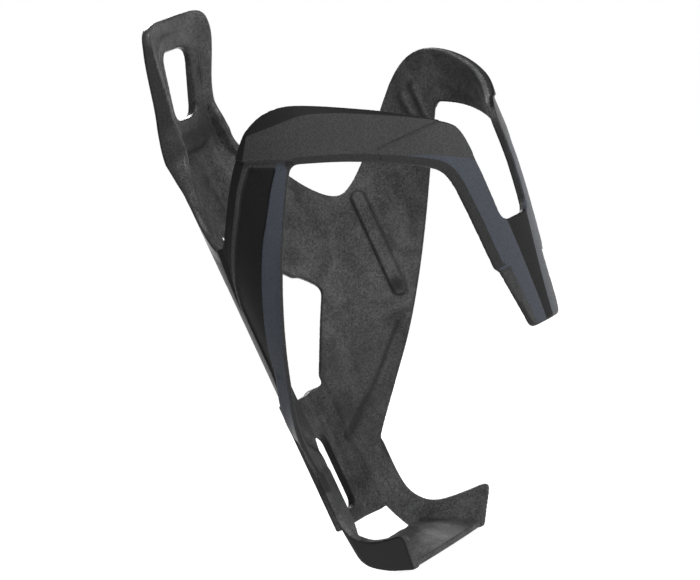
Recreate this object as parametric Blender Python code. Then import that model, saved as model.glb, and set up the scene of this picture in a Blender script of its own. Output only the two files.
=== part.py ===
"""Water bottle cage, modelled member by member around a 74 mm bottle.

Frame: metres, +Z up, with the origin on the flat back of the lower mount, above its bolt slot.
The back, which bolts to a bicycle's frame, faces +Y, and the bottle is gripped on the -Y side.

The members are drawn in millimetres about the bottle: X = Y = 0 is the bottle's axis and Z = 0
the lowest edge of the foot. finish_mesh moves them to the frame above.

The cage is a thin moulded shell. Each curved member is drawn flat, as an outline of
(angle, height) points, where the angle in degrees runs round the bottle from 0 at the front to
180 at the back. The flat plate is then bent to the bottle's radius. The left members (-X) have
positive angles, and the right members are their mirror images.
"""

import bpy
import bmesh
from math import cos, degrees, pi, radians, sin
from mathutils import Vector

MM = 0.001

# Driving dimensions, in millimetres and degrees.
INNER_RADIUS = 37.2  # a 74 mm bottle with 0.2 mm of clearance
WALL = 1.8  # thickness of the moulded shell
FRONT_EXTRA = 0.9  # how much thicker the band, the legs and the tongue are
GAP = 0.3  # clearance between neighbouring members
BEND_STEP = 6.0  # degrees of arc that one flat facet spans
HEIGHT_STEP = 14.0  # height that one facet spans

RAIL_BACK = 43.2  # Y of the flat back that lies on the bicycle's frame
LOWER_MOUNT = (15.0, 49.6)  # bottom and top of each mount
UPPER_MOUNT = (84.0, 120.0)
MOUNT_HALF_WIDTH = 8.0
CHANNEL_HALF_WIDTH = 5.2  # room for the head of an M5 bolt
CHANNEL_FLOOR = 2.4  # thickness of material under the bolt's head
BOLT_SPACING = 64.0  # standard distance between a bicycle frame's two bosses
LOWER_BOLT = 29.0
BOLT_SLOT_WIDTH = 5.4
LOWER_SLOT_LENGTH = 19.6
UPPER_SLOT_LENGTH = 7.0
ORIGIN_ABOVE_BOLT = 15.0

TAB_BOTTOM = UPPER_MOUNT[1] + GAP
TAB_TOP = 152.2
TAB_EXTRA_WALL = 0.6
BACK_SETBACK = 1.5  # how far the spine's top stands behind the bottle's surface
SETBACK_START = 102.0
BACK_COSINE = cos(radians(140.0))  # the spine's top spans the angles beyond 140 degrees
LEAN_START = 120.0  # the height where the tab starts to lean forward
TAB_LEAN = 0.32  # forward travel for each unit of height above that

# How far the front stands out from the shell's own radius, as (height, travel).
FRONT_PROFILE = [(43.5, -3.6), (70.0, 0.0), (88.0, 2.3), (118.0, 4.0)]
TONGUE_TIP = 43.5

FOOT_WALL = 1.8
FOOT_FLOOR = 1.8

# Where the frame's origin lies in the drawing.
ORIGIN = Vector((0.0, RAIL_BACK, LOWER_BOLT + ORIGIN_ABOVE_BOLT))

INNER_FACE = (0.045, 0.046, 0.048)
OUTER_BLACK = (0.028, 0.029, 0.031)
SLATE = (0.050, 0.060, 0.078)
FOOT_GREY = (0.040, 0.041, 0.043)


def clear_scene():
    for item in list(bpy.data.objects):
        bpy.data.objects.remove(item, do_unlink=True)


def paint(name, colour, roughness, metallic=0.0):
    material = bpy.data.materials.new(name)
    material.use_nodes = True
    shader = material.node_tree.nodes["Principled BSDF"]
    shader.inputs["Base Color"].default_value = (*colour, 1.0)
    shader.inputs["Roughness"].default_value = roughness
    shader.inputs["Metallic"].default_value = metallic
    material.diffuse_color = (*colour, 1.0)
    return material


def unroll(outline):
    """Turn (angle, height) points into flat millimetres at the inner radius."""
    return [(radians(angle) * INNER_RADIUS, height) for angle, height in outline]


def front_shift(angle, height):
    """Radial travel of the sprung front: in at the tongue's tip and out at the upper edge."""
    share = max(0.0, cos(radians(angle)))
    for (low, start), (high, end) in zip(FRONT_PROFILE, FRONT_PROFILE[1:]):
        if height <= high:
            break
    rise = min(1.0, max(0.0, (height - low) / (high - low)))
    return share * (start + (end - start) * rise)


def back_shift(angle, height):
    """Travel of the spine's top along +Y: a small step back, then the tab's lean forward."""
    if cos(radians(angle)) > BACK_COSINE:
        return 0.0
    share = min(1.0, max(0.0, (height - SETBACK_START) / (LEAN_START - SETBACK_START)))
    return BACK_SETBACK * share - max(0.0, height - LEAN_START) * TAB_LEAN


def wrap(flat, height, radius):
    """The place on the shell of a flat point, at a radius from the bottle's axis."""
    angle = flat / INNER_RADIUS
    reach = radius + front_shift(degrees(angle), height)
    back = back_shift(degrees(angle), height)
    return Vector((-sin(angle) * reach, -cos(angle) * reach + back, height))


def flat_sheet(loops, cuts):
    """A flat face inside the first loop, outside the others, trimmed by lines."""
    mesh = bmesh.new()
    edges = []
    for loop in loops:
        verts = [mesh.verts.new((x, y, 0.0)) for x, y in loop]
        edges += [mesh.edges.new((verts[i - 1], verts[i])) for i in range(len(verts))]
    bmesh.ops.triangle_fill(mesh, edges=edges, use_beauty=True, use_dissolve=True)
    for point, direction in cuts:
        slice_sheet(mesh, point, direction, True)
    return mesh


def slice_sheet(mesh, point, direction, trim):
    """Cut a flat sheet along a line through point, and drop the side that direction names."""
    everything = mesh.verts[:] + mesh.edges[:] + mesh.faces[:]
    bmesh.ops.bisect_plane(
        mesh,
        geom=everything,
        dist=0.05,
        plane_co=(*point, 0.0),
        plane_no=(*direction, 0.0),
        clear_outer=trim,
    )


def add_bend_lines(mesh):
    """Divide a flat sheet so that it can bend evenly."""
    xs = [vert.co.x for vert in mesh.verts]
    ys = [vert.co.y for vert in mesh.verts]
    step = radians(BEND_STEP) * INNER_RADIUS
    for k in range(int(min(xs) // step), int(max(xs) // step) + 1):
        slice_sheet(mesh, (k * step, 0.0), (1.0, 0.0), False)
    for k in range(int(min(ys) // HEIGHT_STEP), int(max(ys) // HEIGHT_STEP) + 1):
        slice_sheet(mesh, (0.0, k * HEIGHT_STEP), (0.0, 1.0), False)


def thicken(mesh):
    """Give a flat sheet a second face. Layer 0 is the inner face and layer 1 the outer."""
    bmesh.ops.triangulate(mesh, faces=mesh.faces[:])
    lower = mesh.faces[:]
    grown = bmesh.ops.extrude_face_region(mesh, geom=lower, use_keep_orig=True)
    for item in grown["geom"]:
        if isinstance(item, bmesh.types.BMVert):
            item.co.z = 1.0


def finish_mesh(name, mesh, material):
    """Make an object of a mesh drawn in millimetres."""
    bmesh.ops.remove_doubles(mesh, verts=mesh.verts[:], dist=0.02)
    bmesh.ops.recalc_face_normals(mesh, faces=mesh.faces[:])
    bmesh.ops.translate(mesh, vec=-ORIGIN, verts=mesh.verts[:])
    bmesh.ops.scale(mesh, vec=(MM, MM, MM), verts=mesh.verts[:])
    data = bpy.data.meshes.new(name)
    mesh.to_mesh(data)
    mesh.free()
    data.materials.append(material)
    data.shade_smooth()
    data.set_sharp_from_angle(angle=radians(30))
    item = bpy.data.objects.new(name, data)
    bpy.context.collection.objects.link(item)
    return item


def curved_member(name, loops, cuts, material, mirror=False, extra=0.0):
    """A plate of the shell's thickness, bent round the bottle."""
    mesh = flat_sheet([unroll(loop) for loop in loops], cuts)
    add_bend_lines(mesh)
    thicken(mesh)
    for vert in mesh.verts:
        radius = INNER_RADIUS + (WALL + extra) * vert.co.z
        vert.co = wrap(vert.co.x, vert.co.y, radius)
        if mirror:
            vert.co.x = -vert.co.x
    return finish_mesh(name, mesh, material)


def line_cut(start, end, keep_left):
    """A trim line between two (angle, height) points, set back by half the gap."""
    (x0, y0), (x1, y1) = unroll([start, end])
    along = Vector((x1 - x0, y1 - y0)).normalized()
    side = Vector((along.y, -along.x)) if keep_left else Vector((-along.y, along.x))
    point = Vector((x0, y0)) - side * GAP / 2
    return (point.x, point.y), (side.x, side.y)


# Outlines of the left half, as (angle, height) points.
HOOP = [
    (131, 92.5),
    (124, 93),
    (116, 97),
    (101, 107),
    (90, 114),
    (82, 117),
    (75, 118.2),
    (68, 117.8),
    (57, 114.3),
    (46, 110),
    (39, 107.1),
    (21, 100.5),
    (9, 96.5),
    (6.5, 93),
    (8.6, 86),
    (6.8, 72),
    (4, 69.6),
    (0, 69),
    (0, 43.5),
    (9, 43.5),
    (13.5, 46.5),
    (18, 59.5),
    (20.3, 60.5),
    (24.9, 84),
    (26.5, 87),
    (30, 89),
    (47, 95.7),
    (59, 99.6),
    (70, 103),
    (75, 103.5),
    (80, 99),
    (91, 88),
    (101, 77.5),
    (112, 66),
    (125, 53.5),
    (140, 42),
    (150, 35),
    (156, 30.5),
    (157, 27),
    (157.5, 20),
    (167, 20),
    (167, 55.5),
    (163.5, 59),
    (154, 69),
    (151, 72.5),
    (155.5, 76),
    (160, 78.2),
    (167, 82.5),
    (167, 120),
    (160.6, 120),
    (160, 117.8),
    (157.9, 114.7),
    (154, 111.5),
    (149, 108),
    (143.4, 103),
    (137.5, 96.5),
]

NOTCH = (130, 92.0)
WINDOW_FRONT = (150.5, 72)
BAND_BACK = (79, 118)
BAND_BACK_LOW = (74, 103)
BAND_FRONT = (5, 97)
BAND_FRONT_LOW = (27, 86)
LEG_FOOT = 73.0
WING_FOOT = 49.0
STAY_FOOT = 27.3


def shell_members(side, mirror, blacks):
    """The five curved members of one side of the cage."""
    inner, outer, slate = blacks
    shoulder = [line_cut(NOTCH, WINDOW_FRONT, True)]
    curved_member(side + "_shoulder", [HOOP], shoulder, inner, mirror)
    wing = [
        line_cut(NOTCH, WINDOW_FRONT, False),
        line_cut(BAND_BACK, BAND_BACK_LOW, True),
        line_cut((0, WING_FOOT), (180, WING_FOOT), True),
    ]
    curved_member(side + "_wing", [HOOP], wing, inner, mirror)
    stay = [
        line_cut((0, WING_FOOT), (180, WING_FOOT), False),
        line_cut((0, STAY_FOOT), (180, STAY_FOOT), True),
        line_cut((100, 0), (100, 120), False),
    ]
    curved_member(side + "_stay", [HOOP], stay, inner, mirror)
    band = [line_cut(BAND_BACK, BAND_BACK_LOW, False), line_cut(BAND_FRONT, BAND_FRONT_LOW, True)]
    curved_member(side + "_band", [HOOP], band, outer, mirror, FRONT_EXTRA)
    leg = [
        line_cut(BAND_FRONT, BAND_FRONT_LOW, False),
        line_cut((0, LEG_FOOT), (180, LEG_FOOT), True),
        line_cut((60, 0), (60, 120), True),
    ]
    curved_member(side + "_leg", [HOOP], leg, slate, mirror, FRONT_EXTRA)


def mirrored_loop(half, middle):
    """A whole outline from its left half, whose mirror image lies about the middle angle."""
    return half + [(2 * middle - angle, height) for angle, height in reversed(half)]


def front_tongue(material):
    """The blade that both legs run into, with the round end of the slot between them."""
    slot_end = [(0.6, 69), (4, 69.6), (6.8, 72), (6.9, 73)]
    edge = [(22.7, 73), (20.3, 60.5), (18, 59.5), (13.5, 46.5), (12, 44.3), (9, TONGUE_TIP)]
    trim = [line_cut((0, LEG_FOOT), (180, LEG_FOOT), False)]
    loops = [mirrored_loop(slot_end + edge, 0)]
    curved_member("front_tongue", loops, trim, material, extra=FRONT_EXTRA)


def top_tab(material):
    """The head of the spine, a ring round an opening, leaning over the bottle."""
    edge = [(160.6, TAB_BOTTOM), (162.4, 126), (162.4, 132), (158.6, 140), (157.0, 146)]
    edge += [(157.3, 149), (160, 151.2), (165, TAB_TOP)]
    hole = [(174.5, 127), (171.4, 130), (171.0, 142), (172.3, 144.2), (175, 145)]
    loops = [mirrored_loop(edge, 180), mirrored_loop(hole, 180)]
    curved_member("top_tab", loops, [], material, extra=TAB_EXTRA_WALL)


def arc_y(x, radius):
    """Y of a point on the back of a circle round the bottle's axis."""
    return (radius * radius - x * x) ** 0.5


def mount(name, ends, bolt, slot_length, material):
    """A hat-shaped length of channel that takes one bolt, with its flat back at RAIL_BACK."""
    floor = RAIL_BACK - CHANNEL_FLOOR
    wall_x = MOUNT_HALF_WIDTH - 0.4
    half = [
        (CHANNEL_HALF_WIDTH, floor),
        (CHANNEL_HALF_WIDTH + 0.4, arc_y(CHANNEL_HALF_WIDTH, INNER_RADIUS)),
        (MOUNT_HALF_WIDTH, arc_y(MOUNT_HALF_WIDTH, INNER_RADIUS)),
        (MOUNT_HALF_WIDTH, arc_y(MOUNT_HALF_WIDTH, INNER_RADIUS + WALL)),
        (wall_x, RAIL_BACK - 0.6),
        (wall_x - 0.6, RAIL_BACK),
    ]
    section = half + [(-x, y) for x, y in reversed(half)]
    mesh = bmesh.new()
    base = mesh.faces.new([mesh.verts.new((x, y, ends[0])) for x, y in section])
    grown = bmesh.ops.extrude_face_region(mesh, geom=[base], use_keep_orig=True)
    top = [item for item in grown["geom"] if isinstance(item, bmesh.types.BMVert)]
    bmesh.ops.translate(mesh, vec=(0, 0, ends[1] - ends[0]), verts=top)
    plate = finish_mesh(name, mesh, material)
    cut_slot(plate, bolt, slot_length, name + "_slot_cutter")


def cut_slot(plate, height, length, name):
    """An upright slot with round ends, through the channel's floor."""
    mesh = bmesh.new()
    radius = BOLT_SLOT_WIDTH / 2
    straight = length / 2 - radius
    ends = 8
    ring = []
    for k in range(2 * ends + 2):
        upper = k <= ends
        angle = pi * (k if upper else k - 1) / ends
        centre = height + straight if upper else height - straight
        ring.append(mesh.verts.new((radius * cos(angle), RAIL_BACK - 6, centre + radius * sin(angle))))
    face = mesh.faces.new(ring)
    grown = bmesh.ops.extrude_face_region(mesh, geom=[face], use_keep_orig=True)
    far = [item for item in grown["geom"] if isinstance(item, bmesh.types.BMVert)]
    bmesh.ops.translate(mesh, vec=(0, 10, 0), verts=far)
    cutter = finish_mesh(name, mesh, plate.data.materials[0])
    cutter.hide_render = True
    cutter.display_type = "WIRE"
    modifier = plate.modifiers.new(name, "BOOLEAN")
    modifier.object = cutter
    modifier.operation = "DIFFERENCE"
    modifier.solver = "EXACT"


# Ribs of the left foot wall: each runs from the outer edge to the bottle-side edge, as
# (distance from the middle, Y, Z) on the face that looks at the bottle.
FOOT_RIBS = [
    ((8.4, 36.6, 27.0), (15.7, 34.0, 27.0)),
    ((8.4, 37.0, 20.0), (15.6, 33.9, 20.0)),
    ((9.4, 37.4, 15.4), (15.9, 32.6, 14.6)),
    ((11.4, 35.8, 9.6), (16.8, 29.2, 11.3)),
    ((12.8, 32.8, 4.4), (17.8, 26.0, 10.5)),
    ((14.4, 27.6, 2.4), (19.2, 22.0, 10.1)),
    ((15.8, 23.4, 1.1), (20.5, 18.4, 9.9)),
    ((16.8, 19.2, 0.2), (21.6, 15.0, 9.7)),
]


def lofted_plate(name, ribs, thickness, material, mirror=False):
    """A plate through straight ribs, thickened away from the bottle."""
    mesh = bmesh.new()
    sign = -1.0 if not mirror else 1.0
    across = 3
    rows = []
    for start, end in ribs:
        row = []
        for k in range(across + 1):
            point = Vector(start).lerp(Vector(end), k / across)
            row.append(mesh.verts.new((sign * point.x, point.y, point.z)))
        rows.append(row)
    for low, high in zip(rows, rows[1:]):
        for k in range(across):
            mesh.faces.new((low[k], low[k + 1], high[k + 1], high[k]))
    plate = finish_mesh(name, mesh, material)
    middle = plate.data.polygons[len(plate.data.polygons) // 2]
    faces_out = middle.normal.x * sign > 0
    solid = plate.modifiers.new("thickness", "SOLIDIFY")
    solid.thickness = thickness * MM
    solid.offset = 1.0 if faces_out else -1.0
    solid.use_even_offset = True
    return plate


def foot_floor(material):
    """The ramp under the bottle, between the two foot walls."""
    stations = [(32.0, 8.4, 13.6), (27.0, 5.8, 14.6), (23.0, 3.9, 15.5), (19.4, 2.0, 16.2)]
    mesh = bmesh.new()
    rows = []
    for y, z, half in stations:
        xs = [-half, -half / 2, 0.0, half / 2, half]
        upper = [mesh.verts.new((x, y, z)) for x in xs]
        lower = [mesh.verts.new((x, y, z - FOOT_FLOOR)) for x in reversed(xs)]
        rows.append(upper + lower)
    for ring, following in zip(rows, rows[1:]):
        for k in range(len(ring)):
            mesh.faces.new((ring[k - 1], ring[k], following[k], following[k - 1]))
    mesh.faces.new(rows[0])
    mesh.faces.new(rows[-1])
    finish_mesh("foot_floor", mesh, material)


clear_scene()
blacks = (
    paint("inner_carbon", INNER_FACE, 0.55),
    paint("outer_black", OUTER_BLACK, 0.45),
    paint("slate_facet", SLATE, 0.4),
)
grey = paint("foot_carbon", FOOT_GREY, 0.5)
shell_members("left", False, blacks)
shell_members("right", True, blacks)
front_tongue(blacks[1])
top_tab(blacks[0])
mount("lower_mount", LOWER_MOUNT, LOWER_BOLT, LOWER_SLOT_LENGTH, blacks[0])
mount("upper_mount", UPPER_MOUNT, LOWER_BOLT + BOLT_SPACING, UPPER_SLOT_LENGTH, blacks[0])
lofted_plate("left_foot_wall", FOOT_RIBS, FOOT_WALL, grey)
lofted_plate("right_foot_wall", FOOT_RIBS, FOOT_WALL, grey, True)
foot_floor(grey)
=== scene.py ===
"""The looks of a moulded carbon water bottle cage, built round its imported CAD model.

The cage is one seamless moulding. Its surface is worked out as a distance field in millimetres
about the bottle (X = Y = 0 is the bottle's axis, Z = 0 the foot's lowest edge): a shell bent round
the bottle, whose outline and whose inner and outer relief are drawn flat, plus the two mounts and
the foot's cheeks. The field is turned into one fine mesh, which is then cut at the CAD model's
own seams, so that each CAD node has its detailed piece. The object is drawn for its left side and
mirrored: angles run from 0 at the front of the bottle to 180 degrees at its back.
"""
from math import cos, pi, radians, sin

import bmesh
import bpy
import numpy as np
from mathutils import Matrix, Vector


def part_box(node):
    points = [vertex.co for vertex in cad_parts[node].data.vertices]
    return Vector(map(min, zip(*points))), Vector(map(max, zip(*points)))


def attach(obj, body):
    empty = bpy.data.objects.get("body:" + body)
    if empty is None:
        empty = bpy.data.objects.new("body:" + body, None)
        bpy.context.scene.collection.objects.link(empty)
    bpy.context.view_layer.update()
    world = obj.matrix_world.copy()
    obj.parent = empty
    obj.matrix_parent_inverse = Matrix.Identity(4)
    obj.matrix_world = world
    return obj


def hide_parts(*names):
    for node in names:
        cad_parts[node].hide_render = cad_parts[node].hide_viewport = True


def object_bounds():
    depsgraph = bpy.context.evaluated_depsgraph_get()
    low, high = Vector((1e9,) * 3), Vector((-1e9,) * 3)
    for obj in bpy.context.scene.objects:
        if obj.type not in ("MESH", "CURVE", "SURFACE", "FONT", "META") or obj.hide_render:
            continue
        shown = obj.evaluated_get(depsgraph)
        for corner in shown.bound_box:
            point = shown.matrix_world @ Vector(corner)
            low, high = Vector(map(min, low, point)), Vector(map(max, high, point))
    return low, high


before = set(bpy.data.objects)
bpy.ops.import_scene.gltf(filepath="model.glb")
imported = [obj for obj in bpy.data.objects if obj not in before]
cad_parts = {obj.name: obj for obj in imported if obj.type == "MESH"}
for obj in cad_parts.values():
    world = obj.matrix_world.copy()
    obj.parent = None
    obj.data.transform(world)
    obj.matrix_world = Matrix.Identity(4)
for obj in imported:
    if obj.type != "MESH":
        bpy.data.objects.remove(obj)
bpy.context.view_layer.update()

MM = 0.001

# --- sizes, in millimetres and degrees ---

# The shell.
INNER = 37.2
WALL = 1.65
FRONT_WALL = 2.8
THINNEST = 1.0
PER_DEGREE = 0.65  # arc length of one degree on the inner face
BACK_SETBACK = 1.5
SETBACK_START = 102.0
LEAN_START = 120.0
LEAN_BLEND = 3.0
TAB_LEAN = 0.32
FRONT_HEIGHTS = [43.5, 55, 64, 70, 76, 82.6, 88.8, 98, 105, 118]
FRONT_TRAVEL = [-3.7, -2.1, -0.7, 0.2, 1.1, 1.9, 2.3, 2.6, 3.4, 4.0]
SPINE_START = (146, 152)  # angles over which the plain shell turns into the spine
LEAN_ANGLES = (138, 150)  # angles over which the spine's travel builds up
EDGE_RADIUS = 0.45

# The two mounts behind the shell, and their bolt slots as (middle, length, width).
RAIL_BACK = 43.2
RAIL_FRONT = 37.6
RAIL_BOTTOM = 15.0
LOWER_TOP = 50.4
WINDOW_MIDDLE = 67.0
RAIL_TOP = 120.0
LOWER_HALF_WIDTH = 7.9
LOWER_SPLAY = 0.03
UPPER_HALF_WIDTH = 6.2
UPPER_SPLAY = 0.35
CHANNEL_FLOOR_Y = 40.8
CHANNEL_HALF_WIDTH = 5.1
CHANNEL_SLANT = (0.84, 0.54)  # the normal of its sides, as (sideways, back)
CHANNEL_BLEND = 0.7
BOLT_SPACING = 64.0
LOWER_BOLT = 29.0
BOLT_SLOTS = [(LOWER_BOLT, 20.2, 6.2), (LOWER_BOLT + BOLT_SPACING, 5.6, 5.4)]

# The sampling.
PITCH = 0.5  # spacing of the grid that samples the field
GRID_LOW, GRID_HIGH = (-43.0, -44.0, -2.0), (43.0, 44.0, 154.0)
MAP_STEP = 0.25  # spacing of the flat maps
ROUNDING_STEPS = 6  # points on each rounded corner of an outline
MAP_BOTTOM, MAP_TOP = -2.0, 156.0
BACK_HALF = 25.0  # the window and the spine lie behind this Y
SLOT_REACH = 30.0  # the trough and the bolt slots cut only what lies behind this Y
FAR = 9.0  # a distance that leaves the other shapes as they are
DEEPEST = 5.0  # the greatest depth that a colour's mask tells apart
NOWHERE = -DEEPEST

# Outlines of the left half as (angle, height, reach), where reach is how far a corner's rounding
# starts before the corner.
HOOP = [
    (130.0, 92.2, 5),
    (123, 93.4, 5),
    (113, 99, 9),
    (101, 107, 9),
    (90, 113.8, 9),
    (82, 117.0, 9),
    (75, 118.2, 9),
    (67, 117.6, 9),
    (57, 114.3, 9),
    (46, 109.9, 9),
    (39, 107.1, 9),
    (23.4, 100.4, 9),
    (13.4, 96.6, 4),
    (11.6, 91, 4),
    (11.6, 86, 9),
    (10.6, 78, 9),
    (9.4, 70.1, 2.8),
    (-9.4, 70.1, 2.8),
    (-20, 70.1, 0),
    (-20, 43.4, 0),
    (11.4, 43.5, 2.0),
    (17.0, 59.2, 0.8),
    (18.8, 60.4, 0.8),
    (23.2, 84.5, 5),
    (25.5, 87.6, 4),
    (30, 89.8, 9),
    (45.7, 95.8, 9),
    (59, 100.2, 9),
    (74.5, 104.2, 2.5),
    (80, 99, 3),
    (91, 88, 9),
    (101, 77.5, 9),
    (112, 66, 9),
    (125, 53.5, 9),
    (140, 42, 9),
    (150, 35, 9),
    (155.8, 31.0, 4),
    (157.0, 27.0, 4),
    (157.0, 16.0, 0),
    (190.0, 16.0, 0),
    (190.0, 151.8, 0),
    (166, 151.8, 6),
    (158.8, 150.2, 6),
    (156.8, 145.5, 9),
    (158.3, 140.5, 9),
    (162.6, 132, 9),
    (162.9, 126.5, 9),
    (160.6, 121, 9),
    (160.0, 117.6, 6),
    (157.8, 114.6, 6),
    (153.0, 111.3, 6),
    (146.0, 105.3, 6),
    (138.5, 97.5, 9),
]
WINDOW = [
    (190, 49.6, 0),
    (173.2, 49.8, 1.5),
    (167.4, 55.0, 4),
    (163.5, 59, 4),
    (154.3, 69, 5),
    (151.0, 72.6, 2.0),
    (155.6, 76.0, 3),
    (158.6, 77.7, 1.5),
    (161.0, 78.0, 1.5),
    (163.4, 79.6, 3),
    (167, 81.7, 4),
    (171.5, 83.3, 5),
    (190, 83.3, 0),
]
TAB_HOLE = [(190, 143.8, 0), (170.2, 143.8, 3.5), (172.6, 127.0, 3.0), (190, 127.0, 0)]

# The spine's raised rims.
RIM_HEIGHTS = [88, 100, 106, 113, 120, 124, 128, 134, 140, 147]
RIM_DEPTHS = [0.0, 0.5, 0.9, 1.8, 3.4, 2.8, 1.3, 0.9, 0.6, 0.3]
RIM_FLANK = (-3.0, -1.8)
RIM_END = 167.5
ROOT_HEIGHTS = [108, 112, 118, 146]
ROOT_THICKNESS = [0.0, 0.5, 1.7, 0.0]

# The facet down the middle of the front, as its half width in degrees.
CENTRE_HEIGHTS = [42, 48.7, 55.3, 61.9, 71]
CENTRE_ANGLES = [2.6, 3.2, 4.3, 5.6, 7.6]
FRONT_END = 45  # the angle where the front's own facets end

# Lines of (angle, height) points on the unrolled shell.
PANEL = [
    (90.2, 108.0), (79.4, 105.0), (85.9, 100.2), (93.7, 93.5), (98.4, 90.0), (105.6, 83.5),
    (112.1, 77.3), (117.5, 72.1), (124.6, 65.5), (129.5, 58.5), (134, 53.0), (132.5, 62),
    (132.4, 70), (132.1, 77.6), (126.8, 83.3), (118.1, 89.1), (104.5, 98.1), (98, 103.3),
]
BEVEL_LINE = [
    (136, 75), (127.7, 84), (119.2, 90), (105.7, 99), (99.2, 104), (91, 109.2), (87.4, 112.1),
    (84.2, 114.8), (74.5, 114.3), (65, 113.9), (61.4, 113.3), (57, 112.1), (51, 110.2),
    (42.4, 107), (33.4, 103.6), (23.5, 99.9), (10, 94.5),
]
FACET_LINE = [
    (77, 107.2), (85.9, 100.2), (93.7, 93.5), (98.4, 90), (105.6, 83.5), (112.1, 77.3),
    (117.5, 72.1), (124.6, 65.5), (130, 58.5), (137.4, 51.6), (146, 42),
]
LEDGE = [(62, 60), (73, 104.5), (75.8, 105.8), (82, 107.7), (90, 109.5), (100, 112.5)]
SKIRT_LINE = [(12, 43), (14.5, 60), (16.7, 83), (22, 91.5), (40, 99), (60, 106), (76, 110)]
SLATE_TOP = [(43.5, 95.3), (38.7, 94.9), (33.8, 93.7), (26.7, 91.6), (20, 89.4), (9, 85.4)]
CREASE = [
    (127, 57.5), (131.6, 54.5), (140.5, 48.6), (149, 43.8), (160, 39.5), (172, 34.8), (180, 32),
]
RIB = [(122, 90), (122.2, 64.5)]
RIDGES = [[(80.5, 109.5), (80.8, 102.5)], [(87, 108.5), (86.5, 104.0)]]

SKIRT_WIDTH = 1.8
SKIRT_LOWEST = 60
TONGUE_TOP = 72
BEVEL_LOWEST = 75  # the wing's bevel fades out at this height
WING_FRONT = 76  # the angle where the wing's slate facet starts
PANEL_DEPTH = 0.4
RIB_HEIGHT = 0.6
RIB_FLANK = (1.5, 2.1)
RIDGE_HEIGHT = 0.45
RIDGE_WIDTH = 0.8
CREASE_DEPTH = 1.1
CREASE_WIDTH = 1.5

# The foot: its side panels as a plane, and their outline as (along, height, reach).
CHEEK_NORMAL = (0.889, 0.352, -0.294)
CHEEK_OFFSET = 21.63
ACROSS = (0.72, 0.694)  # the direction between sideways and back that the cheeks face
CHEEK = [
    (13.4, 34, 0),
    (13.6, 20, 8),
    (12.2, 14.6, 4),
    (8.8, 10.9, 5),
    (2.5, 10.0, 6),
    (-5.9, 9.9, 2.8),
    (0.7, 0.0, 1.0),
    (9.4, 1.6, 2.5),
    (14.6, 4.0, 2),
    (18.0, 9.6, 4),
    (20.6, 15.4, 2),
    (21.4, 20, 2),
    (21.4, 34, 0),
]
CHEEK_WALL = 1.8
CHEEK_FADE = (30, 38)  # heights over which the cheeks give way to the shell
FOOT_TOP = 26
RAMP_BACK_Y = 32.4
RAMP_RUN = 14.3
RAMP_TOP = 8.6
RAMP_DROP = 6.7
RAMP_HALF_WIDTH = 14.0
RAMP_SPREAD = 2.9
RAMP_BOW = 0.9
RAMP_THICKNESS = 1.5
RIPPLE = 0.22


# --- flat drawing ---


def smooth_step(value, low, high):
    """0 below low, 1 above high and a smooth rise between them."""
    t = np.clip((value - low) / (high - low), 0.0, 1.0)
    return t * t * (3.0 - 2.0 * t)


def smooth_min(a, b, blend):
    """The nearer of two shapes, with a fillet where they meet."""
    t = np.clip(0.5 + 0.5 * (b - a) / blend, 0.0, 1.0)
    return b + (a - b) * t - blend * t * (1.0 - t)


def smooth_max(a, b, blend):
    """The overlap of two shapes, with a rounded edge where they meet."""
    return -smooth_min(-a, -b, blend)


def rounded_outline(points):
    """Flat millimetre points of an (angle, height, reach) outline with its corners rounded."""
    flat = [(Vector((radians(p[0]) * INNER, p[1])), p[2]) for p in points]
    result = []
    for i, (corner, reach) in enumerate(flat):
        before = flat[i - 1][0] - corner
        after = flat[(i + 1) % len(flat)][0] - corner
        start = corner + before.normalized() * min(reach, before.length * 0.5)
        end = corner + after.normalized() * min(reach, after.length * 0.5)
        steps = ROUNDING_STEPS if reach > 0 else 1
        for k in range(steps):
            t = k / (steps - 1) if steps > 1 else 0.0
            result.append(start * (1 - t) ** 2 + corner * 2 * t * (1 - t) + end * t * t)
    return np.array([[p.x, p.y] for p in result])


def loop_distance(x, y, loop):
    """Signed distance from flat points to a closed loop, negative inside."""
    nearest = np.full(x.shape, 1e9)
    inside = np.zeros(x.shape, bool)
    for (ax, ay), (bx, by) in zip(loop, np.roll(loop, -1, axis=0)):
        dx, dy = bx - ax, by - ay
        length = dx * dx + dy * dy
        if length < 1e-12:
            continue
        t = np.clip(((x - ax) * dx + (y - ay) * dy) / length, 0.0, 1.0)
        nearest = np.minimum(nearest, (x - ax - t * dx) ** 2 + (y - ay - t * dy) ** 2)
        crosses = (ay > y) != (by > y)
        if dy:
            inside ^= crosses & (x < ax + (y - ay) * dx / dy)
    return np.where(inside, -1.0, 1.0) * np.sqrt(nearest)


def line_distance(x, y, points):
    """Signed distance from an open line of (angle, height) points, positive on its left."""
    flat = [(radians(a) * INNER, h) for a, h in points]
    nearest = np.full(x.shape, 1e9)
    side = np.zeros(x.shape)
    for (ax, ay), (bx, by) in zip(flat, flat[1:]):
        dx, dy = bx - ax, by - ay
        t = np.clip(((x - ax) * dx + (y - ay) * dy) / (dx * dx + dy * dy), 0.0, 1.0)
        gap = np.hypot(x - ax - t * dx, y - ay - t * dy)
        cross = (dx * (y - ay) - dy * (x - ax)) / np.hypot(dx, dy)
        closer = gap < nearest
        nearest = np.where(closer, gap, nearest)
        side = np.where(closer, cross, side)
    return np.where(side >= 0, nearest, -nearest)


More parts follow.
